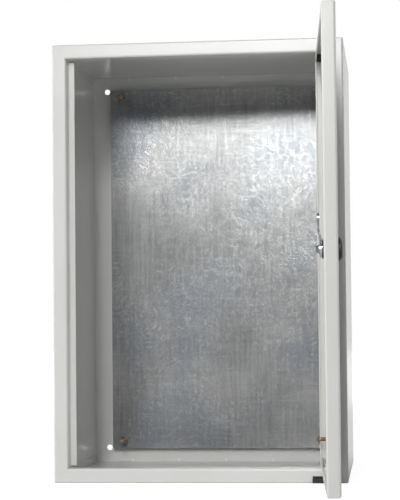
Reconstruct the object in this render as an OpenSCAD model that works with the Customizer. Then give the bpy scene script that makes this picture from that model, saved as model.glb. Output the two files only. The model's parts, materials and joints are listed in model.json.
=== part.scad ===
// Steel wall enclosure: folded body, inset door on pivot pins, cam lock and mounting plate.
// Frame: +Z up, the door faces -Y, the origin is the middle of the wall fixing holes on the rear face.

/* [Cabinet] */
// Width outside
cab_w = 400; // [300:10:600]
// Height outside
cab_h = 600; // [400:10:900]
// Depth outside
cab_d = 300; // [200:10:400]
// Sheet thickness of the body
sheet = 1.2; // [1:0.1:1.5]
// Inside radius of the body's bends
bend_r = 1.5; // [0.8:0.1:2]
// Inside radius of the two rear bends
rear_bend_r = 3; // [1.5:0.5:5]
// Radius of the ground corners, seen from the front
corner_r = 2.5; // [1:0.25:2.8]
// Width of the front rim
rim_w = 19.5; // [17:0.5:24]
// Depth of the fold behind the rim
fold_d = 20; // [20:0.5:26]
// Width of the seat flange behind the door
seat_w = 8; // [5:0.5:10]
// Gap between the seat flange's ends and the folds above and below
seat_relief = 3; // [2:0.5:6]
// Depth of the welding flanges on the top and bottom panels
weld_flange = 10; // [6:0.5:14]

/* [Wall fixing] */
// Diameter of a fixing hole
wall_hole_d = 8.5; // [6:0.5:10]
// Distance from a fixing hole to the side
wall_hole_x = 22.5; // [18:0.5:24]
// Distance from a fixing hole to the top or bottom
wall_hole_z = 22.5; // [18:0.5:30]

/* [Door] */
// Sheet thickness of the door
door_sheet = 1.2; // [1:0.1:1.5]
// Inside radius of the door's bends
door_bend_r = 1.8; // [1:0.1:2]
// Depth of the door's folded edge
door_d = 16.5; // [15:0.5:17]
// Width of the lip inside the folded edge
lip_w = 10; // [6:0.5:12]
// Gap round the door
door_gap = 1.8; // [1.6:0.1:3]
// Radius of the door's ground corners
door_corner_r = 1.6; // [0.5:0.1:2]
// Angle at which the door stands open
door_open = 93.7; // [0:0.1:110]

/* [Hinges] */
// Distance of the pivot from the door's face and hinge edge
pivot_in = 5; // [4.5:0.1:5.5]
// Diameter of a pivot pin
pin_d = 5; // [4:0.1:5.5]
// Running clearance of a pin, on the radius
pin_clear = 0.05; // [0.02:0.01:0.1]
// Length of the lower bearing block
low_block_w = 34.5; // [24:0.5:44]
// Length of the upper bearing block
top_block_w = 26; // [20:1:40]
// How far the lower block's nose stands out in front of the rim
nose_out = 4; // [2:0.5:6]
// Height of the lower block's nose
nose_h = 9; // [7:0.5:10]
// Height of the pin holders inside the door
holder_h = 9.5; // [8:0.1:14]
// Depth of the lower holder, from the door's outer face
low_holder_d = 12.4; // [10:0.1:14]
// Depth of the upper holder, from the door's outer face
top_holder_d = 14; // [10:0.1:14.5]

/* [Lock] */
// Distance from the lock to the door's free edge
lock_in = 30; // [25:1:40]
// Diameter of the lock's head
head_d = 28; // [25:0.5:30]
// Height of the lock's head
head_h = 5; // [3:0.5:6]
// Diameter of the threaded barrel
barrel_d = 22; // [18:0.5:24]
// Width of the barrel across its flats
barrel_flats = 20; // [16:0.5:22]
// Diameter of the turning spindle
spindle_d = 12; // [10:0.5:12]
// Size of the spindle's square end
square_s = 8; // [6:0.5:8]
// Reach of the cam from its axis
cam_reach = 43; // [41:0.5:45]
// Width of the cam
cam_w = 16; // [12:0.5:18]
// Thickness of the cam
cam_t = 2.5; // [2:0.1:3]
// Gap between the locked cam and the back of the seat flange
cam_clear = 0.6; // [0.4:0.1:1.5]

/* [Mounting plate] */
// Gap from the plate's side edge to the cabinet's side
plate_side = 30; // [26:1:60]
// Gap from the plate's top or bottom edge to the cabinet's end
plate_end = 22.5; // [16:0.5:60]
// Thickness of the plate
plate_t = 2; // [1.5:0.5:3]
// Length of the spacers behind the plate
spacer_l = 12; // [8:1:20]
// Distance from a stud to the plate's side edge
stud_x = 18.5; // [12:0.5:30]
// Distance from a stud to the plate's top or bottom edge
stud_z = 12.5; // [12:0.5:30]
// Diameter of the studs
stud_d = 6; // [5:0.5:8]
// How far the studs stand out in front of the plate
stud_out = 30; // [15:1:35]

/* [Earth studs] */
// Distance from the door's earth stud to its hinge edge
earth_in = 26; // [20:1:40]
// Height of the door's earth stud above the door's bottom edge
earth_up = 39; // [30:1:80]
// Length of the earth studs
earth_l = 16.3; // [12:0.1:16.5]

/* [Hidden] */
$fn = 48;
bend_steps = 8;          // flats in each quarter bend
eps = 0.01;              // makes a cut run past its faces
seat_gap = 0.2;          // clearance where a loose piece sits on another
hole_clear = 0.4;        // clearance of a stud or screw in its hole, on the radius

paint = [0.84, 0.84, 0.82];
zinc = [0.72, 0.74, 0.76];
copper = [0.72, 0.45, 0.30];
black = [0.07, 0.07, 0.08];

// Cabinet
rim_in_x = cab_w / 2 - rim_w;            // half the front opening's width
rim_in_z = cab_h / 2 - rim_w;            // half its height
front_y = -cab_d;
fold_y = front_y + fold_d;               // back of the folds and of the seat flanges
seat_y = fold_y - sheet;                 // front of the seat flanges

// Door, in the place where it is closed
door_x = rim_in_x - door_gap;            // half the door's width
door_z = rim_in_z - door_gap;            // half its height
edge_zone = lip_w + door_bend_r + 2 * door_sheet + 4;
pivot_x = door_x - pivot_in;
pivot_y = front_y + pivot_in;

// Bearing blocks, in the hollow between the rim's fold and the panel
block_fit = 0.3 * bend_r;                        // clears the inside of the bends
block_front = front_y + sheet + block_fit;
block_back = fold_y + block_fit;
block_low = cab_h / 2 - sheet - block_fit;      // face next to the panel, as a distance from the middle
block_high = rim_in_z + sheet + block_fit;      // face next to the fold
block_past = 13;                                // from the pivot to both blocks' ends
block_end = pivot_x + block_past;
nose_slope = 3;                                 // height of the nose's sloping top
pin_end = cab_h / 2 - 4;                        // far end of a pin
pin_head_d = 2 * (pivot_in - door_sheet - 0.3);
pin_head_h = 2;
holder_fit = 0.3 * door_bend_r;                 // clears the inside of the door's bends
holder_reach = 5.5;                             // from the pivot to the holder's free end
holder_round = 1.5;
fold_hole_d = pin_d + 1.5;
clip_t = 0.8;
clip_w = 1.8;

// Lock, measured inwards from the door's outer face
lock_x = -door_x + lock_in;
washer_t = 1;
nut_t = 5;
tip_y = fold_d + cam_clear;                     // front of the cam's tip
crank = 2.8;                                    // step between the cam's hub and its tip
crank_start = 10;                               // the step's two ends, from the axis
crank_end = 23;
hub_y = tip_y - crank;                          // front of the cam's hub
barrel_end = hub_y - seat_gap;
disc_d = spindle_d + 3;                         // the spindle's front disc, in a recess of the head
disc_t = 1.2;
recess_h = 2;
tap_d = 5;                                      // screw in the spindle's end
tap_l = 10;
cam_washer_t = 1.2;
screw_head_h = 4;
key_slot = [1.6, 7];

// Body's earth stud, from the back of the rim's fold and from the cabinet's bottom
body_earth_y = 40;
body_earth_z = 32;

// Mounting plate
plate_x = cab_w / 2 - plate_side;
plate_z = cab_h / 2 - plate_end;
plate_back = -sheet - spacer_l;
plate_front = plate_back - plate_t;
washer_plate_t = 1.2;
nut_af = 10 * stud_d / 6;
nut_h = 5 * stud_d / 6;
washer_d = 12 * stud_d / 6;

// ---- Sheet profiles ----

function unit(v) = v / norm(v);
function left_of(v) = [-v[1], v[0]];
function turned(v, a) = [v[0] * cos(a) - v[1] * sin(a), v[0] * sin(a) + v[1] * cos(a)];
// Points of one face through the bend at q: face 0 is the drawn one, face 1 lies a thickness to its left
function bend_points(p, q, s, t, r, face) =
    let (
        d1 = unit(q - p),
        d2 = unit(s - q),
        side = sign(cross(d1, d2)),
        angle = acos(d1 * d2),
        drawn_r = side > 0 ? r + t : r,
        face_r = drawn_r - face * side * t,
        centre = q - d1 * drawn_r * tan(angle / 2) + left_of(d1) * side * drawn_r
    )
    [for (i = [0 : bend_steps]) centre - face_r * side * turned(left_of(d1), side * angle * i / bend_steps)];
function face_points(path, t, r, face) =
    let (n = len(path), shift = face * t)
    concat(
        [path[0] + shift * left_of(unit(path[1] - path[0]))],
        [for (i = [1 : n - 2]) each bend_points(path[i - 1], path[i], path[i + 1], t, r, face)],
        [path[n - 1] + shift * left_of(unit(path[n - 1] - path[n - 2]))]
    );
function reversed(list) = [for (i = [len(list) - 1 : -1 : 0]) list[i]];

// Section of a bent sheet along a path, with the thickness on the path's left
module bent_sheet(path, t, r) {
    polygon(concat(face_points(path, t, r, 0), reversed(face_points(path, t, r, 1))));
}

// A folded edge of length 2 * half, cut to a mitre at both ends. The section's first axis runs inwards
// from the edge and its second backwards. Drawn along Z with the edge at the left.
module mitred_edge(path, t, r, half, zone) {
    intersection() {
        translate([0, 0, -half]) linear_extrude(2 * half) bent_sheet(path, t, r);
        rotate([90, 0, 0]) translate([0, 0, -cab_d]) linear_extrude(2 * cab_d)
            polygon([[0, -half], [zone, zone - half], [zone, half - zone], [0, half]]);
    }
}

// Places one edge of a frame: side 0 is the left one, then top, right and bottom
module at_edge(side, half_w, half_h, y) {
    reach = side % 2 == 0 ? half_w : half_h;
    translate([0, y, 0]) rotate([0, side * 90, 0]) translate([-reach, 0, 0]) children();
}

module rounded_front(w, h, r, y0, depth) {
    translate([0, y0 + depth, 0]) rotate([90, 0, 0]) linear_extrude(depth) {
        square([w - 2 * r, h], center = true);
        square([w, h - 2 * r], center = true);
        for (x = [-1, 1], z = [-1, 1]) translate([x * (w / 2 - r), z * (h / 2 - r)]) circle(r);
    }
}

// ---- Body ----

rim_path = [[0, fold_d], [0, 0], [rim_w, 0], [rim_w, fold_d]];
seat_path = [[0, fold_d], [0, 0], [rim_w, 0], [rim_w, fold_d - sheet], [rim_w + seat_w, fold_d - sheet]];

// The front of one side wall: rim, fold and seat flange
module side_front(side) {
    half = cab_h / 2;
    at_edge(side, cab_w / 2, cab_h / 2, front_y) {
        mitred_edge(rim_path, sheet, bend_r, half, rim_w);
        seat_half = rim_in_z - seat_relief;
        translate([0, 0, -seat_half]) linear_extrude(2 * seat_half) bent_sheet(seat_path, sheet, bend_r);
    }
}

module body_wrapper() {
    color(paint) difference() {
        intersection() {
            union() {
                for (side = [0, 2]) mirror([side / 2, 0, 0]) side_front(0);
                translate([0, 0, sheet - cab_h / 2]) linear_extrude(cab_h - 2 * sheet)
                    bent_sheet(
                        [[cab_w / 2, fold_y], [cab_w / 2, 0], [-cab_w / 2, 0], [-cab_w / 2, fold_y]],
                        sheet, rear_bend_r
                    );
            }
            rounded_front(cab_w, cab_h, corner_r, front_y, cab_d);
        }
        for (x = [-1, 1], z = [-1, 1])
            translate([x * (cab_w / 2 - wall_hole_x), 0, z * (cab_h / 2 - wall_hole_z)])
                rotate([90, 0, 0]) cylinder(d = wall_hole_d, h = 4 * sheet, center = true);
    }
}

// Outline of the top and bottom panels behind the folds, with the wrapper's rear bends
module panel_outline() {
    r = rear_bend_r + sheet;
    translate([-cab_w / 2, fold_y]) square([cab_w, -fold_y - r]);
    translate([r - cab_w / 2, -r - eps]) square([cab_w - 2 * r, r + eps]);
    for (x = [-1, 1]) translate([x * (cab_w / 2 - r), -r]) circle(r);
}

// The top panel. The bottom one is the same, mirrored, with a slot for the bearing block's nose.
module end_panel() {
    inner = sheet + rear_bend_r + 2;
    intersection() {
        union() {
            translate([0, 0, cab_h / 2 - sheet]) linear_extrude(sheet) panel_outline();
            at_edge(1, cab_w / 2, cab_h / 2, front_y)
                mitred_edge(rim_path, sheet, bend_r, cab_w / 2, rim_w);
            for (x = [-1, 1])
                translate([
                    x * (cab_w / 2 - 1.5 * sheet), (fold_y - inner) / 2, cab_h / 2 - sheet - weld_flange / 2
                ])
                    cube([sheet, -fold_y - inner, weld_flange + eps], center = true);
            translate([0, -1.5 * sheet, cab_h / 2 - sheet - weld_flange / 2])
                cube([cab_w - 2 * inner, sheet, weld_flange + eps], center = true);
        }
        rounded_front(cab_w, cab_h, corner_r, front_y, cab_d);
    }
}

// Hole for a pivot pin through the fold of the panel at the given end, -1 or 1
module fold_hole(end) {
    translate([pivot_x, pivot_y, end * rim_in_z]) cylinder(d = fold_hole_d, h = 4 * sheet, center = true);
}

module top_panel() {
    color(paint) difference() {
        end_panel();
        fold_hole(1);
    }
}

module bottom_panel() {
    color(paint) difference() {
        mirror([0, 0, 1]) end_panel();
        fold_hole(-1);
        translate([block_end - low_block_w - block_fit, front_y - 1, -cab_h / 2 - 1])
            cube([low_block_w + 2 * block_fit, 1 + sheet + bend_r, 1 + nose_h + block_fit]);
    }
}

// ---- Mounting plate ----

module at_studs() {
    for (x = [-1, 1], z = [-1, 1])
        translate([x * (plate_x - stud_x), 0, z * (plate_z - stud_z)]) rotate([90, 0, 0]) children();
}

module mounting_plate() {
    color(zinc) difference() {
        translate([-plate_x, plate_front, -plate_z]) cube([2 * plate_x, plate_t, 2 * plate_z]);
        at_studs() translate([0, 0, -plate_back - 1]) cylinder(d = stud_d + 2 * hole_clear, h = plate_t + 2);
    }
}

module plate_studs() {
    color(copper) at_studs() weld_stud(stud_d, spacer_l + plate_t + stud_out, sheet);
}

// A weld stud standing on a sheet, with its flanged foot and chamfered end
module weld_stud(d, l, foot) {
    chamfer = d / 8;
    translate([0, 0, foot]) {
        cylinder(d = d + 1.5, h = 0.6);
        cylinder(d = d, h = l - chamfer);
        translate([0, 0, l - chamfer]) cylinder(d1 = d, d2 = d - 2 * chamfer, h = chamfer);
    }
}

module ring(outer, inner, h) {
    difference() {
        cylinder(d = outer, h = h);
        translate([0, 0, -1]) cylinder(d = inner, h = h + 2);
    }
}

module plate_spacers() {
    foot_recess = 0.8;
    color(zinc) at_studs() translate([0, 0, sheet]) difference() {
        ring(stud_d + 5, stud_d + 2 * hole_clear, spacer_l);
        translate([0, 0, -1]) cylinder(d = stud_d + 2.3, h = 1 + foot_recess);
    }
}

module plate_washers() {
    color(zinc) at_studs() translate([0, 0, -plate_front])
        ring(washer_d, stud_d + 2 * hole_clear, washer_plate_t);
}

// A hexagon with chamfered corners, standing on Z = 0
module hex_head(af, h) {
    corner = af / cos(30);
    chamfer = (corner - af) / 2;
    intersection() {
        cylinder(d = corner, h = h, $fn = 6);
        rotate_extrude() polygon([
            [0, 0], [af / 2, 0], [corner / 2, chamfer], [corner / 2, h - chamfer], [af / 2, h], [0, h]
        ]);
    }
}

module hex_nut(af, bore, h) {
    difference() {
        hex_head(af, h);
        translate([0, 0, -1]) cylinder(d = bore, h = h + 2);
    }
}

module plate_nuts() {
    color(zinc) at_studs() translate([0, 0, -plate_front + washer_plate_t])
        hex_nut(nut_af, stud_d + 0.1, nut_h);
}

module body_earth_stud() {
    color(copper) translate([cab_w / 2, fold_y + body_earth_y, -cab_h / 2 + body_earth_z])
        rotate([0, -90, 0]) weld_stud(stud_d, earth_l, sheet);
}

// ---- Hinges ----

// A bearing block in the rim's hollow, drawn for the top: bore, body and the ridge behind the fold
module bearing_block(w) {
    ridge = sheet + block_fit;
    difference() {
        union() {
            translate([block_end - w, block_front, block_high])
                cube([w, block_back - block_front, block_low - block_high]);
            translate([block_end - w, block_back, block_high - ridge])
                cube([w, 3, block_low - block_high + ridge]);
        }
        translate([pivot_x, pivot_y, block_high - 1])
            cylinder(r = pin_d / 2 + pin_clear, h = pin_end - block_high + 2);
    }
}

module upper_bearing_block() {
    color(black) bearing_block(top_block_w);
}

// The lower block also has a nose that fills the slot in the rim, with a sloping top and a slanted end
module lower_bearing_block() {
    nose_top = nose_h - cab_h / 2;
    nose_low = 0.4 - cab_h / 2;
    nose_front = front_y - nose_out;
    slant = 3.5;
    color(black) {
        mirror([0, 0, 1]) bearing_block(low_block_w);
        intersection() {
            translate([block_end - low_block_w, 0, 0]) rotate([90, 0, 90]) linear_extrude(low_block_w)
                polygon([
                    [block_front, nose_low], [nose_front, nose_low], [nose_front, nose_top - nose_slope],
                    [front_y, nose_top], [block_front, nose_top]
                ]);
            translate([block_end - low_block_w, block_front, -cab_h / 2]) rotate([90, 0, 0])
                linear_extrude(nose_out + sheet + block_fit)
                    polygon([
                        [0, 0], [low_block_w, 0], [low_block_w, nose_h], [slant, nose_h],
                        [0, nose_h - nose_slope]
                    ]);
        }
    }
}

module thrust_washer() {
    color([0.9, 0.9, 0.86]) translate([pivot_x, pivot_y, -rim_in_z])
        ring(pin_head_d + 2, fold_hole_d, door_gap - seat_gap);
}

// Turns what is drawn at the closed door to where the door stands open
module on_door() {
    translate([pivot_x, pivot_y, 0]) rotate([0, 0, door_open]) translate([-pivot_x, -pivot_y, 0]) children();
}

// A holder for the top pin, in the corner of the door, of the given depth from the door's outer face
module pin_holder(depth) {
    low = [pivot_x - holder_reach, front_y + door_sheet + holder_fit];
    high = [door_x - door_sheet - holder_fit, front_y + depth];
    translate([0, 0, door_z - door_sheet - holder_fit - holder_h]) difference() {
        linear_extrude(holder_h) {
            translate([low[0], low[1]]) square([high[0] - low[0], high[1] - low[1] - holder_round]);
            translate([low[0] + holder_round, low[1]])
                square([high[0] - low[0] - 2 * holder_round, high[1] - low[1]]);
            for (x = [low[0] + holder_round, high[0] - holder_round])
                translate([x, high[1] - holder_round]) circle(holder_round);
        }
        translate([pivot_x, pivot_y, -1]) cylinder(d = pin_d + 0.1, h = holder_h + 2);
    }
}

module upper_pin_holder() {
    color(black) on_door() pin_holder(top_holder_d);
}

module lower_pin_holder() {
    color(zinc) on_door() mirror([0, 0, 1]) pin_holder(low_holder_d);
}

// A pivot pin for the top: its head is under the holder and its end in the bearing block
module pivot_pin() {
    head = door_z - door_sheet - holder_fit - holder_h - seat_gap / 2 - pin_head_h;
    shaft = pin_end - head - 0.5;
    translate([pivot_x, pivot_y, head]) {
        cylinder(d = pin_head_d, h = pin_head_h);
        cylinder(d = pin_d, h = shaft);
        translate([0, 0, shaft]) cylinder(d1 = pin_d, d2 = pin_d - 1, h = 0.5);
    }
}

module upper_hinge_pin() {
    color(zinc) on_door() pivot_pin();
}

module lower_hinge_pin() {
    color(zinc) on_door() mirror([0, 0, 1]) pivot_pin();
}

module pin_clip() {
    color(zinc) on_door() translate([pivot_x, pivot_y, door_z + seat_gap / 2]) difference() {
        ring(pin_d + 2 * clip_w, pin_d + 0.1, clip_t);
        translate([0, -pin_d / 3, -1]) cube([pin_d + 2 * clip_w, pin_d / 1.5, clip_t + 2]);
    }
}

// ---- Door ----

door_path = [[edge_zone, 0], [0, 0], [0, door_d], [lip_w, door_d]];

// The door's sections are drawn with the thickness on the path's right, so their ends are swapped
module door_edge(side) {
    half = side % 2 == 0 ? door_z : door_x;
    at_edge(side, door_x, door_z, front_y)
        mitred_edge(reversed(door_path), door_sheet, door_bend_r, half, edge_zone);
}

module door_panel() {
    color(paint) on_door() difference() {
        intersection() {
            union() {
                for (side = [0 : 3]) door_edge(side);
                translate([edge_zone - door_x, front_y, edge_zone - door_z])
                    cube([2 * (door_x - edge_zone), door_sheet, 2 * (door_z - edge_zone)]);
            }
            rounded_front(2 * door_x, 2 * door_z, door_corner_r, front_y, door_d);
        }
        for (end = [-1, 1])
            translate([pivot_x, pivot_y, end * door_z])
                cylinder(d = pin_d + 0.1, h = 4 * door_sheet, center = true);
        translate([lock_x, front_y - 1, 0]) rotate([-90, 0, 0]) intersection() {
            cylinder(d = barrel_d + 0.4, h = door_sheet + 2);
            translate([-barrel_flats / 2 - 0.2, -barrel_d, 0])
                cube([barrel_flats + 0.4, 2 * barrel_d, door_sheet + 2]);
        }
    }
}

module door_earth_stud() {
    color(copper) on_door() translate([door_x - earth_in, front_y, earth_up - door_z])
        rotate([-90, 0, 0]) weld_stud(stud_d, earth_l, door_sheet);
}

// ---- Lock ----

// Draws the lock with its axis on Z, Z = 0 at the door's outer face and the inside of the cabinet above
module at_lock() {
    on_door() translate([lock_x, front_y, 0]) rotate([-90, 0, 0]) children();
}

module lock_housing() {
    chamfer = 2;
    color(black) at_lock() difference() {
        union() {
            translate([0, 0, -head_h]) cylinder(d1 = head_d - 2 * chamfer, d2 = head_d, h = chamfer);
            translate([0, 0, chamfer - head_h]) cylinder(d = head_d, h = head_h - chamfer);
            intersection() {
                cylinder(d = barrel_d, h = barrel_end);
                translate([-barrel_flats / 2, -barrel_d, 0]) cube([barrel_flats, 2 * barrel_d, barrel_end]);
            }
        }
        translate([0, 0, -head_h - 1]) cylinder(r = spindle_d / 2 + pin_clear, h = barrel_end + head_h + 2);
        translate([0, 0, -head_h - 1]) cylinder(d = disc_d + 0.6, h = 1 + recess_h);
    }
}

module lock_washer() {
    color(zinc) at_lock() translate([0, 0, door_sheet]) ring(barrel_d + 6, barrel_d + 0.3, washer_t);
}

module lock_nut() {
    color(zinc) at_lock() translate([0, 0, door_sheet + washer_t])
        hex_nut(barrel_d + 5, barrel_d + 0.1, nut_t);
}

module lock_spindle() {
    disc_z = recess_h - head_h - disc_t - seat_gap;
    color(zinc) at_lock() difference() {
        union() {
            translate([0, 0, disc_z]) cylinder(d = disc_d, h = disc_t);
            translate([0, 0, disc_z]) cylinder(d = spindle_d, h = barrel_end + seat_gap / 2 - disc_z);
            translate([-square_s / 2, -square_s / 2, barrel_end])
                cube([square_s, square_s, hub_y + cam_t - barrel_end]);
        }
        translate([0, 0, hub_y + cam_t - tap_l]) cylinder(d = tap_d + 0.1, h = tap_l + 1);
        translate([-key_slot[0] / 2, -key_slot[1] / 2, disc_z - 1]) cube([key_slot[0], key_slot[1], 6]);
    }
}

// The cam points up when the lock is open. Its side view is a bent strip, cut to the outline of its face.
module lock_cam() {
    tail = cam_w / 2 + 2;
    color([0.85, 0.86, 0.88]) at_lock() difference() {
        intersection() {
            rotate([90, 0, -90]) translate([0, 0, -tail]) linear_extrude(2 * tail) bent_sheet(
                [[-tail, hub_y], [crank_start, hub_y], [crank_end, tip_y], [cam_reach, tip_y]],
                cam_t, 1
            );
            rotate([0, 0, -90]) linear_extrude(tip_y + 3 * cam_t) {
                circle(tail);
                translate([0, -cam_w / 2]) square([cam_reach - cam_w / 2, cam_w]);
                translate([cam_reach - cam_w / 2, 0]) circle(d = cam_w);
            }
        }
        translate([-square_s / 2 - 0.05, -square_s / 2 - 0.05, hub_y - 1])
            cube([square_s + 0.1, square_s + 0.1, cam_t + 2]);
    }
}

module cam_washer() {
    color(zinc) at_lock() translate([0, 0, hub_y + cam_t])
        ring(square_s + 4, tap_d + 2 * hole_clear, cam_washer_t);
}

module cam_screw() {
    seat = hub_y + cam_t + cam_washer_t;
    color(zinc) at_lock() {
        translate([0, 0, seat]) hex_head(8, screw_head_h);
        translate([0, 0, seat + 0.5 - tap_l]) cylinder(d = tap_d, h = tap_l - 0.5 + eps);
    }
}

body_wrapper();
top_panel();
bottom_panel();
mounting_plate();
plate_studs();
plate_spacers();
plate_washers();
plate_nuts();
body_earth_stud();
lower_bearing_block();
upper_bearing_block();
thrust_washer();
door_panel();
door_earth_stud();
lower_pin_holder();
upper_pin_holder();
lower_hinge_pin();
upper_hinge_pin();
pin_clip();
lock_housing();
lock_washer();
lock_nut();
lock_spindle();
lock_cam();
cam_washer();
cam_screw();
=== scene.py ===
import json
import math
import bpy
from mathutils import Matrix, Vector


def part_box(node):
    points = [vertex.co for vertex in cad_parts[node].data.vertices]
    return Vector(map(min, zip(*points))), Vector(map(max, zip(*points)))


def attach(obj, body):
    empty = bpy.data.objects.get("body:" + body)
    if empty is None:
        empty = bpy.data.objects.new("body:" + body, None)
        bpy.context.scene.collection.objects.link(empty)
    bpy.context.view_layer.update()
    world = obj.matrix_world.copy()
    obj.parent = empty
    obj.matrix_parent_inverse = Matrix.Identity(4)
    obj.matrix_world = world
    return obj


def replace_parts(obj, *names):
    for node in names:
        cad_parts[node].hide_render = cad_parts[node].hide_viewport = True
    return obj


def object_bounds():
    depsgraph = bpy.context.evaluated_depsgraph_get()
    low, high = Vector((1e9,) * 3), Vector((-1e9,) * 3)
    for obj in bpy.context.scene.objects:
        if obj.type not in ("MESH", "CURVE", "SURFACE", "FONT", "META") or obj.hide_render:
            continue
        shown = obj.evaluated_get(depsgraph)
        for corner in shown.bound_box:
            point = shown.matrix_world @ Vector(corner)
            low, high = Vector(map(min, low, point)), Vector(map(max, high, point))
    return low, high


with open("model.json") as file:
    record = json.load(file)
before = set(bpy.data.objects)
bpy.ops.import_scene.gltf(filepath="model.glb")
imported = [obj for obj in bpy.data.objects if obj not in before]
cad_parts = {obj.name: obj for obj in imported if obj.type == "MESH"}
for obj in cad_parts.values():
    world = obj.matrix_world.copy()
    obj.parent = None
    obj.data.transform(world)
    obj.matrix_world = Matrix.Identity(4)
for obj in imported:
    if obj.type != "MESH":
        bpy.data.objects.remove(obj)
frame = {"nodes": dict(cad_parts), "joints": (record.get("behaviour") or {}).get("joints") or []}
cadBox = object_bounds()
scene = bpy.context.scene


class Wire:
    # an output socket: sums and products of it add Math nodes
    def __init__(self, board, socket):
        self.board = board
        self.socket = socket

    def __add__(self, other):
        return self.board.maths("ADD", self, other)

    def __radd__(self, other):
        return self.board.maths("ADD", other, self)

    def __sub__(self, other):
        return self.board.maths("SUBTRACT", self, other)

    def __rsub__(self, other):
        return self.board.maths("SUBTRACT", other, self)

    def __mul__(self, other):
        return self.board.maths("MULTIPLY", self, other)

    def __rmul__(self, other):
        return self.board.maths("MULTIPLY", other, self)

    def __abs__(self):
        return self.board.maths("ABSOLUTE", self)


class Board:
    # the nodes of one material or of the world
    def __init__(self, tree):
        self.tree = tree
        tree.nodes.clear()

    def put(self, kind, settings=None, sockets=None, out=0):
        node = self.tree.nodes.new(kind)
        for key, value in (settings or {}).items():
            if key == "stops":
                self.setStops(node.color_ramp, value)
            else:
                setattr(node, key, value)
        for key, value in (sockets or {}).items():
            if isinstance(value, Wire):
                self.tree.links.new(value.socket, node.inputs[key])
            else:
                node.inputs[key].default_value = value
        return Wire(self, node.outputs[out]) if len(node.outputs) else node

    def setStops(self, ramp, stops):
        # each stop is a place on the ramp and its grey level
        while len(ramp.elements) < len(stops):
            ramp.elements.new(0.5)
        for element, (place, level) in zip(ramp.elements, stops):
            element.position = place
            element.color = (level, level, level, 1)

    def maths(self, operation, a, b=0.0):
        return self.put("ShaderNodeMath", {"operation": operation}, {0: a, 1: b})

    def axes(self, vector):
        return [self.put("ShaderNodeSeparateXYZ", None, {0: vector}, axis) for axis in "XYZ"]

    def place(self, kind):
        return self.put("ShaderNodeTexCoord", out=kind)

    def ray(self, kind):
        return self.put("ShaderNodeLightPath", out=kind)

    def step(self, value, low, high):
        # 0 below low, 1 above high, smooth between
        return self.put("ShaderNodeMapRange", {"interpolation_type": "SMOOTHSTEP"},
                        {"Value": value, "From Min": low, "From Max": high})

    def noise(self, vector, scale, detail=2.0, distortion=0.0, rough=0.5):
        return self.put("ShaderNodeTexNoise", None, {
            "Vector": vector, "Scale": scale, "Detail": detail,
            "Distortion": distortion, "Roughness": rough}, "Fac")

    def blend(self, factor, first, second):
        return self.put("ShaderNodeMix", {"data_type": "RGBA"}, {"Factor": factor, 6: first, 7: second}, 2)

    def stretch(self, vector, scale):
        return self.put("ShaderNodeMapping", None, {"Vector": vector, "Scale": scale})

    def bump(self, look, height):
        return self.put("ShaderNodeBump", None, {
            "Strength": look["bump"], "Distance": look["depth"], "Height": height}, "Normal")


def linear(level):
    # one channel as it looks on screen, 0 to 255, made linear
    share = level / 255
    return ((share + 0.055) / 1.055) ** 2.4 if share > 0.04045 else share / 12.92


def colour(red, green, blue):
    return linear(red), linear(green), linear(blue), 1


def finish(name, build):
    material = bpy.data.materials.new(name)
    material.use_nodes = True
    board = Board(material.node_tree)
    board.put("ShaderNodeOutputMaterial", None, {"Surface": build(board, board.place("Object"))})
    return material


# powder coat: a pale grey with orange peel and a little dirt
paint = {
    "body": colour(224, 224, 222), "door": colour(222, 222, 219),
    "dirt": colour(205, 204, 198), "dirtScale": 7, "dirtStart": 0.45, "dirtFull": 0.75, "dirtShare": 0.25,
    "peelScale": 520, "peelShare": 0.6, "waveScale": 60, "waveShare": 0.4,
    "bump": 1.0, "depth": 0.00006,
    "roughness": 0.2, "roughnessSpread": 0.08, "coat": 0.06, "coatRoughness": 0.2,
}
# lines where the rims meet, on the rims' front only
mitre = {
    "sharp": 0.0001, "width": 0.0006, "frontStart": 0.001, "frontEnd": 0.003,
    "rimStart": 0.017, "rimEnd": 0.0175, "height": 2.5, "share": 0.35,
}
# spot welds in the corners where the back meets the top and the bottom; core and edge are radii squared
weld = {
    "start": 0.004, "pitch": 0.073, "inset": 0.003, "core": 0.000004, "edge": 0.0000085,
    "tone": colour(246, 246, 244), "height": 6, "share": 0.6,
}

cabinetLow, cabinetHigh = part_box("body_wrapper")
cabinetLow.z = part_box("bottom_panel")[0].z
cabinetHigh.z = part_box("top_panel")[1].z
cabinetMiddle = (cabinetLow + cabinetHigh) / 2
cabinetHalf = (cabinetHigh - cabinetLow) / 2


def mitreLines(board, x, y, z):
    fromSide = cabinetHalf.x - abs(x - cabinetMiddle.x)
    fromEnd = cabinetHalf.z - abs(z - cabinetMiddle.z)
    line = 1 - board.step(abs(fromSide - fromEnd), mitre["sharp"], mitre["width"])
    onFront = 1 - board.step(y, cabinetLow.y + mitre["frontStart"], cabinetLow.y + mitre["frontEnd"])
    onRim = 1 - board.step(fromSide, mitre["rimStart"], mitre["rimEnd"])
    return line * (onFront * onRim)


def spotWelds(board, x, y, z):
    aside = board.maths("PINGPONG", x - weld["start"], weld["pitch"] / 2)
    forth = y - (cabinetHigh.y - weld["inset"])
    above = abs(z - cabinetMiddle.z) - (cabinetHalf.z - weld["inset"])
    return 1 - board.step(aside * aside + forth * forth + above * above, weld["core"], weld["edge"])


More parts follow.
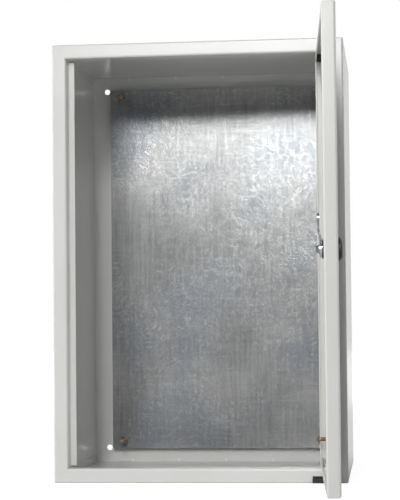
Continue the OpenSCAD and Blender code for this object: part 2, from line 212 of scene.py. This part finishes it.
def powderCoat(tone, seams):
    def build(board, where):
        broad = board.noise(where, paint["dirtScale"], 3)
        peel = board.noise(where, paint["peelScale"], 2)
        wave = board.noise(where, paint["waveScale"], 1)
        dirty = board.step(broad, paint["dirtStart"], paint["dirtFull"]) * paint["dirtShare"]
        tint = board.blend(dirty, tone, paint["dirt"])
        height = peel * paint["peelShare"] + wave * paint["waveShare"]
        if seams:
            x, y, z = board.axes(where)
            lines = mitreLines(board, x, y, z)
            spots = spotWelds(board, x, y, z)
            height = height + lines * mitre["height"] + spots * weld["height"]
            tint = board.blend(lines * mitre["share"], tint, paint["dirt"])
            tint = board.blend(spots * weld["share"], tint, weld["tone"])
        return board.put("ShaderNodeBsdfPrincipled", None, {
            "Base Color": tint, "Roughness": broad * paint["roughnessSpread"] + paint["roughness"],
            "Coat Weight": paint["coat"], "Coat Roughness": paint["coatRoughness"],
            "Normal": board.bump(paint, height)})
    return build


# galvanised sheet: curls of zinc over fine upright and cross streaks
galvanised = {
    "light": colour(206, 206, 204), "dark": colour(128, 130, 132),
    "cool": colour(134, 143, 156), "coolScale": 6.5, "coolStart": 0.45, "coolFull": 0.7, "coolShare": 0.5,
    "swirlScale": 60, "swirlReach": 0.018, "flowScale": 30, "flowBend": 1.6, "flowRough": 0.55,
    "rings": 9, "ringStart": 0.02, "ringEnd": 0.2,
    "curlScale": 7, "curlStart": 0.35, "curlFull": 0.65, "curlShare": 0.75,
    "patchScale": 9, "upright": (260, 260, 14), "across": (14, 260, 260), "grainScale": 1100,
    # the share of each pattern in the tint and in the height
    "tint": {"curl": 0.5, "upright": 0.6, "across": 0.35, "patch": 0.8, "grain": 0.5, "level": 0.36},
    "height": {"curl": 0.45, "grain": 0.4, "upright": 0.45, "across": 0.35},
    "bump": 0.45, "depth": 0.00006, "metal": 0.78, "roughness": 0.232, "roughnessSpread": 0.02,
}


def galvanisedSheet(board, where):
    look = galvanised
    swirl = board.put("ShaderNodeTexNoise", None, {
        "Vector": where, "Scale": look["swirlScale"], "Detail": 3.0}, "Color")
    bent = board.put("ShaderNodeVectorMath", {"operation": "MULTIPLY_ADD"}, {
        0: swirl, 1: (look["swirlReach"],) * 3, 2: where})
    flow = board.noise(bent, look["flowScale"], 3, look["flowBend"], look["flowRough"])
    wave = board.maths("PINGPONG", flow * look["rings"], 0.5)
    rings = 1 - board.step(wave, look["ringStart"], look["ringEnd"])
    present = board.step(board.noise(where, look["curlScale"], 2), look["curlStart"], look["curlFull"])
    curl = rings * (present * look["curlShare"] + (1 - look["curlShare"]))
    patch = board.noise(where, look["patchScale"], 3)
    upright = board.noise(board.stretch(where, look["upright"]), 1.0, 3)
    across = board.noise(board.stretch(where, look["across"]), 1.0, 3)
    grain = board.noise(where, look["grainScale"], 2)

    share = look["tint"]
    mottle = (curl * share["curl"] + (upright - 0.5) * share["upright"] + (across - 0.5) * share["across"] +
              (patch - 0.5) * share["patch"] + (grain - 0.5) * share["grain"] + share["level"])
    tint = board.blend(mottle, look["dark"], look["light"])
    cool = board.step(board.noise(where, look["coolScale"], 3), look["coolStart"], look["coolFull"])
    tint = board.blend(cool * look["coolShare"], tint, look["cool"])

    share = look["height"]
    height = (curl * share["curl"] + grain * share["grain"] + upright * share["upright"] +
              across * share["across"])
    spread = patch * look["roughnessSpread"] + curl * look["roughnessSpread"]
    return board.put("ShaderNodeBsdfPrincipled", None, {
        "Base Color": tint, "Metallic": look["metal"], "Roughness": spread + look["roughness"],
        "Normal": board.bump(look, height)})


# plated metals: roughness is the mean
plated = {
    "patchScale": 260, "patchStart": 0.35, "patchFull": 0.7, "bump": 0.4, "depth": 0.00004, "spread": 0.2,
}
platings = {
    "zinc": {"light": colour(205, 208, 212), "dark": colour(160, 164, 170),
             "roughness": 0.32, "grain": 1500, "metal": 1.0},
    "copper": {"light": colour(208, 172, 150), "dark": colour(150, 116, 98),
               "roughness": 0.34, "grain": 1500, "metal": 0.8},
    "dullCopper": {"light": colour(182, 156, 140), "dark": colour(120, 98, 86),
                   "roughness": 0.4, "grain": 1500, "metal": 0.8},
    "dullZinc": {"light": colour(150, 147, 142), "dark": colour(92, 89, 86),
                 "roughness": 0.3, "grain": 1500, "metal": 1.0},
    "chrome": {"light": colour(226, 228, 230), "dark": colour(205, 208, 212),
               "roughness": 0.18, "grain": 2500, "metal": 1.0},
    "castZinc": {"light": colour(178, 180, 184), "dark": colour(140, 143, 148),
                 "roughness": 0.4, "grain": 1200, "metal": 1.0},
}


def plating(look):
    def build(board, where):
        patch = board.noise(where, plated["patchScale"], 4)
        fine = board.noise(where, look["grain"], 2)
        worn = board.step(patch, plated["patchStart"], plated["patchFull"])
        return board.put("ShaderNodeBsdfPrincipled", None, {
            "Base Color": board.blend(worn, look["light"], look["dark"]), "Metallic": look["metal"],
            "Roughness": patch * plated["spread"] + (look["roughness"] - plated["spread"] / 2),
            "Normal": board.bump(plated, fine)})
    return build


# mouldings and the lock's black coat: roughness is the mean
moulded = {
    "grainScale": 1800, "patchScale": 90, "patchShare": 0.6, "patch": colour(58, 58, 60),
    "bump": 0.5, "depth": 0.00005, "spread": 0.2,
}
mouldings = {
    "blackNylon": {"tone": colour(30, 30, 32), "roughness": 0.5},
    "blackCoat": {"tone": colour(24, 24, 26), "roughness": 0.35},
    "whiteNylon": {"tone": colour(232, 232, 226), "roughness": 0.45},
}


def moulding(look):
    def build(board, where):
        grain = board.noise(where, moulded["grainScale"], 3)
        patch = board.noise(where, moulded["patchScale"], 3)
        return board.put("ShaderNodeBsdfPrincipled", None, {
            "Base Color": board.blend(patch * moulded["patchShare"], look["tone"], moulded["patch"]),
            "Roughness": patch * moulded["spread"] + (look["roughness"] - moulded["spread"] / 2),
            "Normal": board.bump(moulded, grain)})
    return build


finishes = {
    "bodyPaint": finish("bodyPaint", powderCoat(paint["body"], True)),
    "doorPaint": finish("doorPaint", powderCoat(paint["door"], False)),
    "galvanised": finish("galvanised", galvanisedSheet),
}
for name, look in platings.items():
    finishes[name] = finish(name, plating(look))
for name, look in mouldings.items():
    finishes[name] = finish(name, moulding(look))

wears = {
    "bodyPaint": ("body_wrapper", "top_panel", "bottom_panel"),
    "doorPaint": ("door_panel",),
    "galvanised": ("mounting_plate",),
    "zinc": ("plate_spacers", "lower_hinge_pin", "upper_hinge_pin", "pin_clip",
             "lower_pin_holder", "lock_washer", "lock_nut", "cam_washer", "cam_screw"),
    "dullZinc": ("plate_washers", "plate_nuts"),
    "chrome": ("lock_cam",),
    "castZinc": ("lock_spindle",),
    "blackNylon": ("lower_bearing_block", "upper_bearing_block", "upper_pin_holder"),
    "blackCoat": ("lock_housing",),
    "whiteNylon": ("thrust_washer",),
}
for name, nodes in wears.items():
    for node in nodes:
        mesh = frame["nodes"][node].data
        mesh.materials.clear()
        mesh.materials.append(finishes[name])
print("finishes on the CAD nodes")


mergeDistance = 0.000005
smoothAngle = math.radians(35)


def deselect():
    if bpy.context.object and bpy.context.object.mode != "OBJECT":
        bpy.ops.object.mode_set(mode="OBJECT")
    bpy.ops.object.select_all(action="DESELECT")


def pick(piece):
    deselect()
    bpy.context.view_layer.objects.active = piece
    piece.select_set(True)


def editAll(piece):
    pick(piece)
    bpy.ops.object.mode_set(mode="EDIT")
    bpy.ops.mesh.select_all(action="SELECT")


def chain(name, points):
    # a profile in the XZ plane: a small plane merged to one vertex and extruded from point to point
    deselect()
    bpy.ops.mesh.primitive_plane_add(size=0.001, location=(0, 0, 0))
    piece = bpy.context.object
    piece.name = name
    bpy.ops.object.mode_set(mode="EDIT")
    bpy.ops.mesh.merge(type="CENTER")
    last = Vector((0, 0, 0))
    for number, (x, z) in enumerate(points):
        move = Vector((x, 0, z)) - last
        if number:
            bpy.ops.mesh.extrude_region_move(TRANSFORM_OT_translate={"value": move})
        else:
            bpy.ops.transform.translate(value=move)
        last += move
    bpy.ops.object.mode_set(mode="OBJECT")
    return piece


def screwed(piece, steps, **settings):
    # the profile turned about Z, a full turn at a time
    modifier = piece.modifiers.new("screw", "SCREW")
    modifier.steps = steps
    modifier.render_steps = steps
    modifier.use_merge_vertices = True
    modifier.merge_threshold = mergeDistance
    for key, value in settings.items():
        setattr(modifier, key, value)
    bpy.context.view_layer.objects.active = piece
    bpy.ops.object.modifier_apply(modifier=modifier.name)


def outwards(piece):
    editAll(piece)
    bpy.ops.mesh.remove_doubles(threshold=mergeDistance)
    bpy.ops.mesh.normals_make_consistent(inside=False)
    bpy.ops.object.mode_set(mode="OBJECT")
    return piece


def turned(name, points, steps):
    # a profile from axis to axis, spun to a closed shape
    piece = chain(name, points)
    screwed(piece, steps)
    return outwards(piece)


def cutAt(piece, place, normal):
    # what lies beyond the plane goes, and the cut is closed
    editAll(piece)
    bpy.ops.mesh.bisect(plane_co=place, plane_no=normal, use_fill=True, clear_outer=True)
    bpy.ops.object.mode_set(mode="OBJECT")


def threaded(name, thread, length):
    # from Z = 0 up: one pitch of the profile screwed round, then cut square at both ends
    pitch, outer = thread["pitch"], thread["outer"]
    root = outer - thread["depth"]
    crest = [(outer, pitch * share) for share in thread["crest"]]
    rod = chain(name, [(root, 0), *crest, (root, pitch)])
    turns = math.ceil(length / pitch) + 2
    screwed(rod, thread["steps"], screw_offset=pitch, iterations=turns)
    rod.data.transform(Matrix.Translation((0, 0, -pitch)))
    cutAt(rod, (0, 0, length), (0, 0, 1))
    cutAt(rod, (0, 0, 0), (0, 0, -1))
    return outwards(rod)


def joined(name, pieces):
    deselect()
    for piece in pieces:
        piece.select_set(True)
    bpy.context.view_layer.objects.active = pieces[0]
    bpy.ops.object.join()
    pieces[0].name = name
    return pieces[0]


def dressed(piece, material):
    pick(piece)
    bpy.ops.object.shade_smooth_by_angle(angle=smoothAngle)
    piece.data.materials.clear()
    piece.data.materials.append(finishes[material])
    return piece


def copyTo(piece, place):
    double = piece.copy()
    double.data = piece.data.copy()
    double.data.transform(place)
    scene.collection.objects.link(double)
    return double


# weld studs: a threaded rod with a plain tip and a foot at its root; crest is in shares of the pitch
stud = {
    "pitch": 0.001, "outer": 0.003, "depth": 0.00055, "crest": (0.44, 0.56), "steps": 28,
    "lead": 0.0008, "tipLength": 0.002, "tipOverRoot": 0.00035, "tipBevel": 0.0003,
    "foot": 0.00375, "footHeight": 0.0006, "footEdge": 0.00036, "footBevel": 0.0004,
}


def weldStud(name, length):
    rod = threaded(name, stud, length - stud["lead"])
    root = stud["outer"] - stud["depth"]
    neck = root + stud["tipOverRoot"]
    bottom = length - stud["tipLength"]
    tip = turned(name + "Tip", [
        (0, bottom), (neck, bottom), (neck, length - stud["lead"]), (root - stud["tipBevel"], length),
        (0, length)], stud["steps"])
    foot = turned(name + "Foot", [
        (0, 0), (stud["foot"], 0), (stud["foot"], stud["footEdge"]),
        (stud["foot"] - stud["footBevel"], stud["footHeight"]), (0, stud["footHeight"])], stud["steps"])
    return joined(name, [rod, tip, foot])


def doorInward():
    # into the cabinet from the door's face: against the axis of the lock's joint
    axis = next(joint["axis"] for joint in frame["joints"] if joint["name"] == "latch_turn")
    return -Vector(axis).normalized()


def plateStuds():
    # four on the back wall, pointing forwards
    low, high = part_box("plate_studs")
    reach = stud["foot"]
    master = weldStud("studMaster", high.y - low.y)
    forward = Matrix.Rotation(math.radians(90), 4, "X")
    copies = []
    for x in (low.x + reach, high.x - reach):
        for z in (low.z + reach, high.z - reach):
            copies.append(copyTo(master, Matrix.Translation((x, high.y, z)) @ forward))
    bpy.data.objects.remove(master)
    studs = dressed(joined("plateStuds", copies), "dullCopper")
    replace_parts(studs, "plate_studs")
    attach(studs, "cabinet")


def bodyEarthStud():
    # on the right wall, pointing left
    low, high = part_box("body_earth_stud")
    middle = (low + high) / 2
    earth = weldStud("bodyEarthStud", high.x - low.x)
    leftward = Matrix.Rotation(math.radians(-90), 4, "Y")
    earth.data.transform(Matrix.Translation((high.x, middle.y, middle.z)) @ leftward)
    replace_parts(dressed(earth, "copper"), "body_earth_stud")
    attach(earth, "cabinet")


def doorEarthStud():
    # on the door, along its own inward direction
    inward = doorInward()
    points = [Vector(v.co) for v in frame["nodes"]["door_earth_stud"].data.vertices]
    along = [point.dot(inward) for point in points]
    middle = sum(points, Vector()) / len(points)
    root = middle + inward * (min(along) - middle.dot(inward))
    earth = weldStud("doorEarthStud", max(along) - min(along))
    earth.data.transform(Matrix.Translation(root) @ inward.to_track_quat("Z", "Y").to_matrix().to_4x4())
    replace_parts(dressed(earth, "copper"), "door_earth_stud")
    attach(earth, "door")


plateStuds()
bodyEarthStud()
doorEarthStud()
print("weld studs")


# angles in radians, lens and sensor in millimetres, shifts in shares of the picture's height
camera = {
    "place": (0.255, -2.35176, -0.07434), "yaw": 0.10254, "pitch": 0.0366, "roll": -0.01005,
    "sensor": 36, "lens": 109.8504, "shiftX": -0.06, "shiftY": 0.0192,
}


def placeCamera():
    lens = bpy.data.cameras.new("camera")
    lens.sensor_width = camera["sensor"]
    lens.lens = camera["lens"]
    lens.shift_x = camera["shiftX"]
    lens.shift_y = camera["shiftY"]
    yaw, pitch, roll = camera["yaw"], camera["pitch"], camera["roll"]
    right = Vector((math.cos(yaw), math.sin(yaw), 0))
    ahead = Vector((-math.sin(yaw) * math.cos(pitch), math.cos(yaw) * math.cos(pitch), math.sin(pitch)))
    up = right.cross(ahead)
    across = right * math.cos(roll) + up * math.sin(roll)
    upright = up * math.cos(roll) - right * math.sin(roll)
    turn = Matrix((across, upright, -ahead)).transposed()
    eye = bpy.data.objects.new("camera", lens)
    eye.matrix_world = Matrix.Translation(camera["place"]) @ turn.to_4x4()
    scene.collection.objects.link(eye)
    scene.camera = eye


# what the world shows: a dark room in front of the object and a grey one behind it
room = {
    "behind": 0.35, "behindStart": -0.05, "behindFull": 0.15,
    # brightness in front by height of the direction: 0.5 is level, 1 straight up
    "front": [(0.0, 0.05), (0.5, 0.05), (0.6, 0.06), (1.0, 0.08)],
}


def lightRoom():
    world = bpy.data.worlds.new("studio")
    world.use_nodes = True
    scene.world = world
    board = Board(world.node_tree)
    _, y, z = board.axes(board.place("Generated"))
    behind = board.step(y, room["behindStart"], room["behindFull"])
    front = board.put("ShaderNodeValToRGB", {"stops": room["front"]}, {0: z * 0.5 + 0.5})
    dim = (1 - behind) * front + behind * room["behind"]
    # white for the camera and through clear pieces, and for reflections of what is behind
    clear = board.maths("MAXIMUM", board.ray("Is Camera Ray"), board.ray("Is Transmission Ray"))
    whiteBehind = board.ray("Is Glossy Ray") * behind * (1 - room["behind"])
    strength = (dim + whiteBehind) * (1 - clear) + clear
    background = board.put("ShaderNodeBackground", None, {"Color": (1, 1, 1, 1), "Strength": strength})
    board.put("ShaderNodeOutputWorld", None, {"Surface": background})


# size is width and height in metres, roll turns a lamp about its aim
lampAim = Vector((0, -0.3, 0))
lamps = {
    "softbox": {"place": (0.06, -5.17, 2.24), "size": (0.5, 1.2), "power": 95, "tint": (1, 1, 1), "roll": 0},
    "low": {"place": (-0.3, -5.45, 1.38), "size": (1.7, 0.6), "power": 48, "tint": (1, 1, 1), "roll": -0.2},
    "left": {"place": (-3.5, -1.2, 1.6), "size": (2, 2), "power": 78, "tint": (1, 1, 1), "roll": 0},
    "right": {"place": (2.9, 3.4, 1.2), "size": (1.6, 1.6), "power": 5, "tint": (0.7, 0.82, 1), "roll": 0},
}


def hangLamps():
    for name, lamp in lamps.items():
        light = bpy.data.lights.new(name, "AREA")
        light.shape = "RECTANGLE"
        light.size, light.size_y = lamp["size"]
        light.color = lamp["tint"]
        light.energy = lamp["power"]
        holder = bpy.data.objects.new(name, light)
        scene.collection.objects.link(holder)
        holder.location = lamp["place"]
        aim = lampAim - Vector(lamp["place"])
        holder.rotation_euler = aim.to_track_quat("-Z", "Y").to_euler()
        holder.rotation_euler.rotate_axis("Z", lamp["roll"])


# pale floor that keeps the object's shadow: glow is a white light that only the camera and reflections
# see, and show is its share near the object
floor = {
    "size": 14, "below": 0.0005, "tone": 0.8, "show": 0.6, "glow": 1.5,
    "behindStart": -0.4, "behindFull": 0.2,
    # squares of the distances between which it turns all white, so that it has no horizon
    "farStart": 0.8, "farFull": 4.0,
}


def layFloor():
    deselect()
    bpy.ops.mesh.primitive_plane_add(size=floor["size"], location=(0, 0, cadBox[0][2] - floor["below"]))
    plane = bpy.context.object
    plane.name = "floor"
    material = bpy.data.materials.new("paleFloor")
    material.use_nodes = True
    board = Board(material.node_tree)
    x, y, _ = board.axes(board.place("Object"))
    behind = board.step(y, floor["behindStart"], floor["behindFull"])
    seen = board.maths("MAXIMUM", board.ray("Is Camera Ray"), board.ray("Is Glossy Ray") * behind)
    far = board.step(x * x + y * y, floor["farStart"], floor["farFull"])
    share = seen * (floor["show"] + far * (1 - floor["show"]))
    dull = board.put("ShaderNodeBsdfDiffuse", None, {"Color": (floor["tone"],) * 3 + (1,)})
    glow = board.put("ShaderNodeEmission", None, {"Color": (1, 1, 1, 1), "Strength": floor["glow"]})
    mixed = board.put("ShaderNodeMixShader", None, {"Fac": share, 1: dull, 2: glow})
    board.put("ShaderNodeOutputMaterial", None, {"Surface": mixed})
    plane.data.materials.append(material)


placeCamera()
lightRoom()
hangLamps()
layFloor()
scene.view_settings.view_transform = "Standard"
print("camera, floor and lamps")
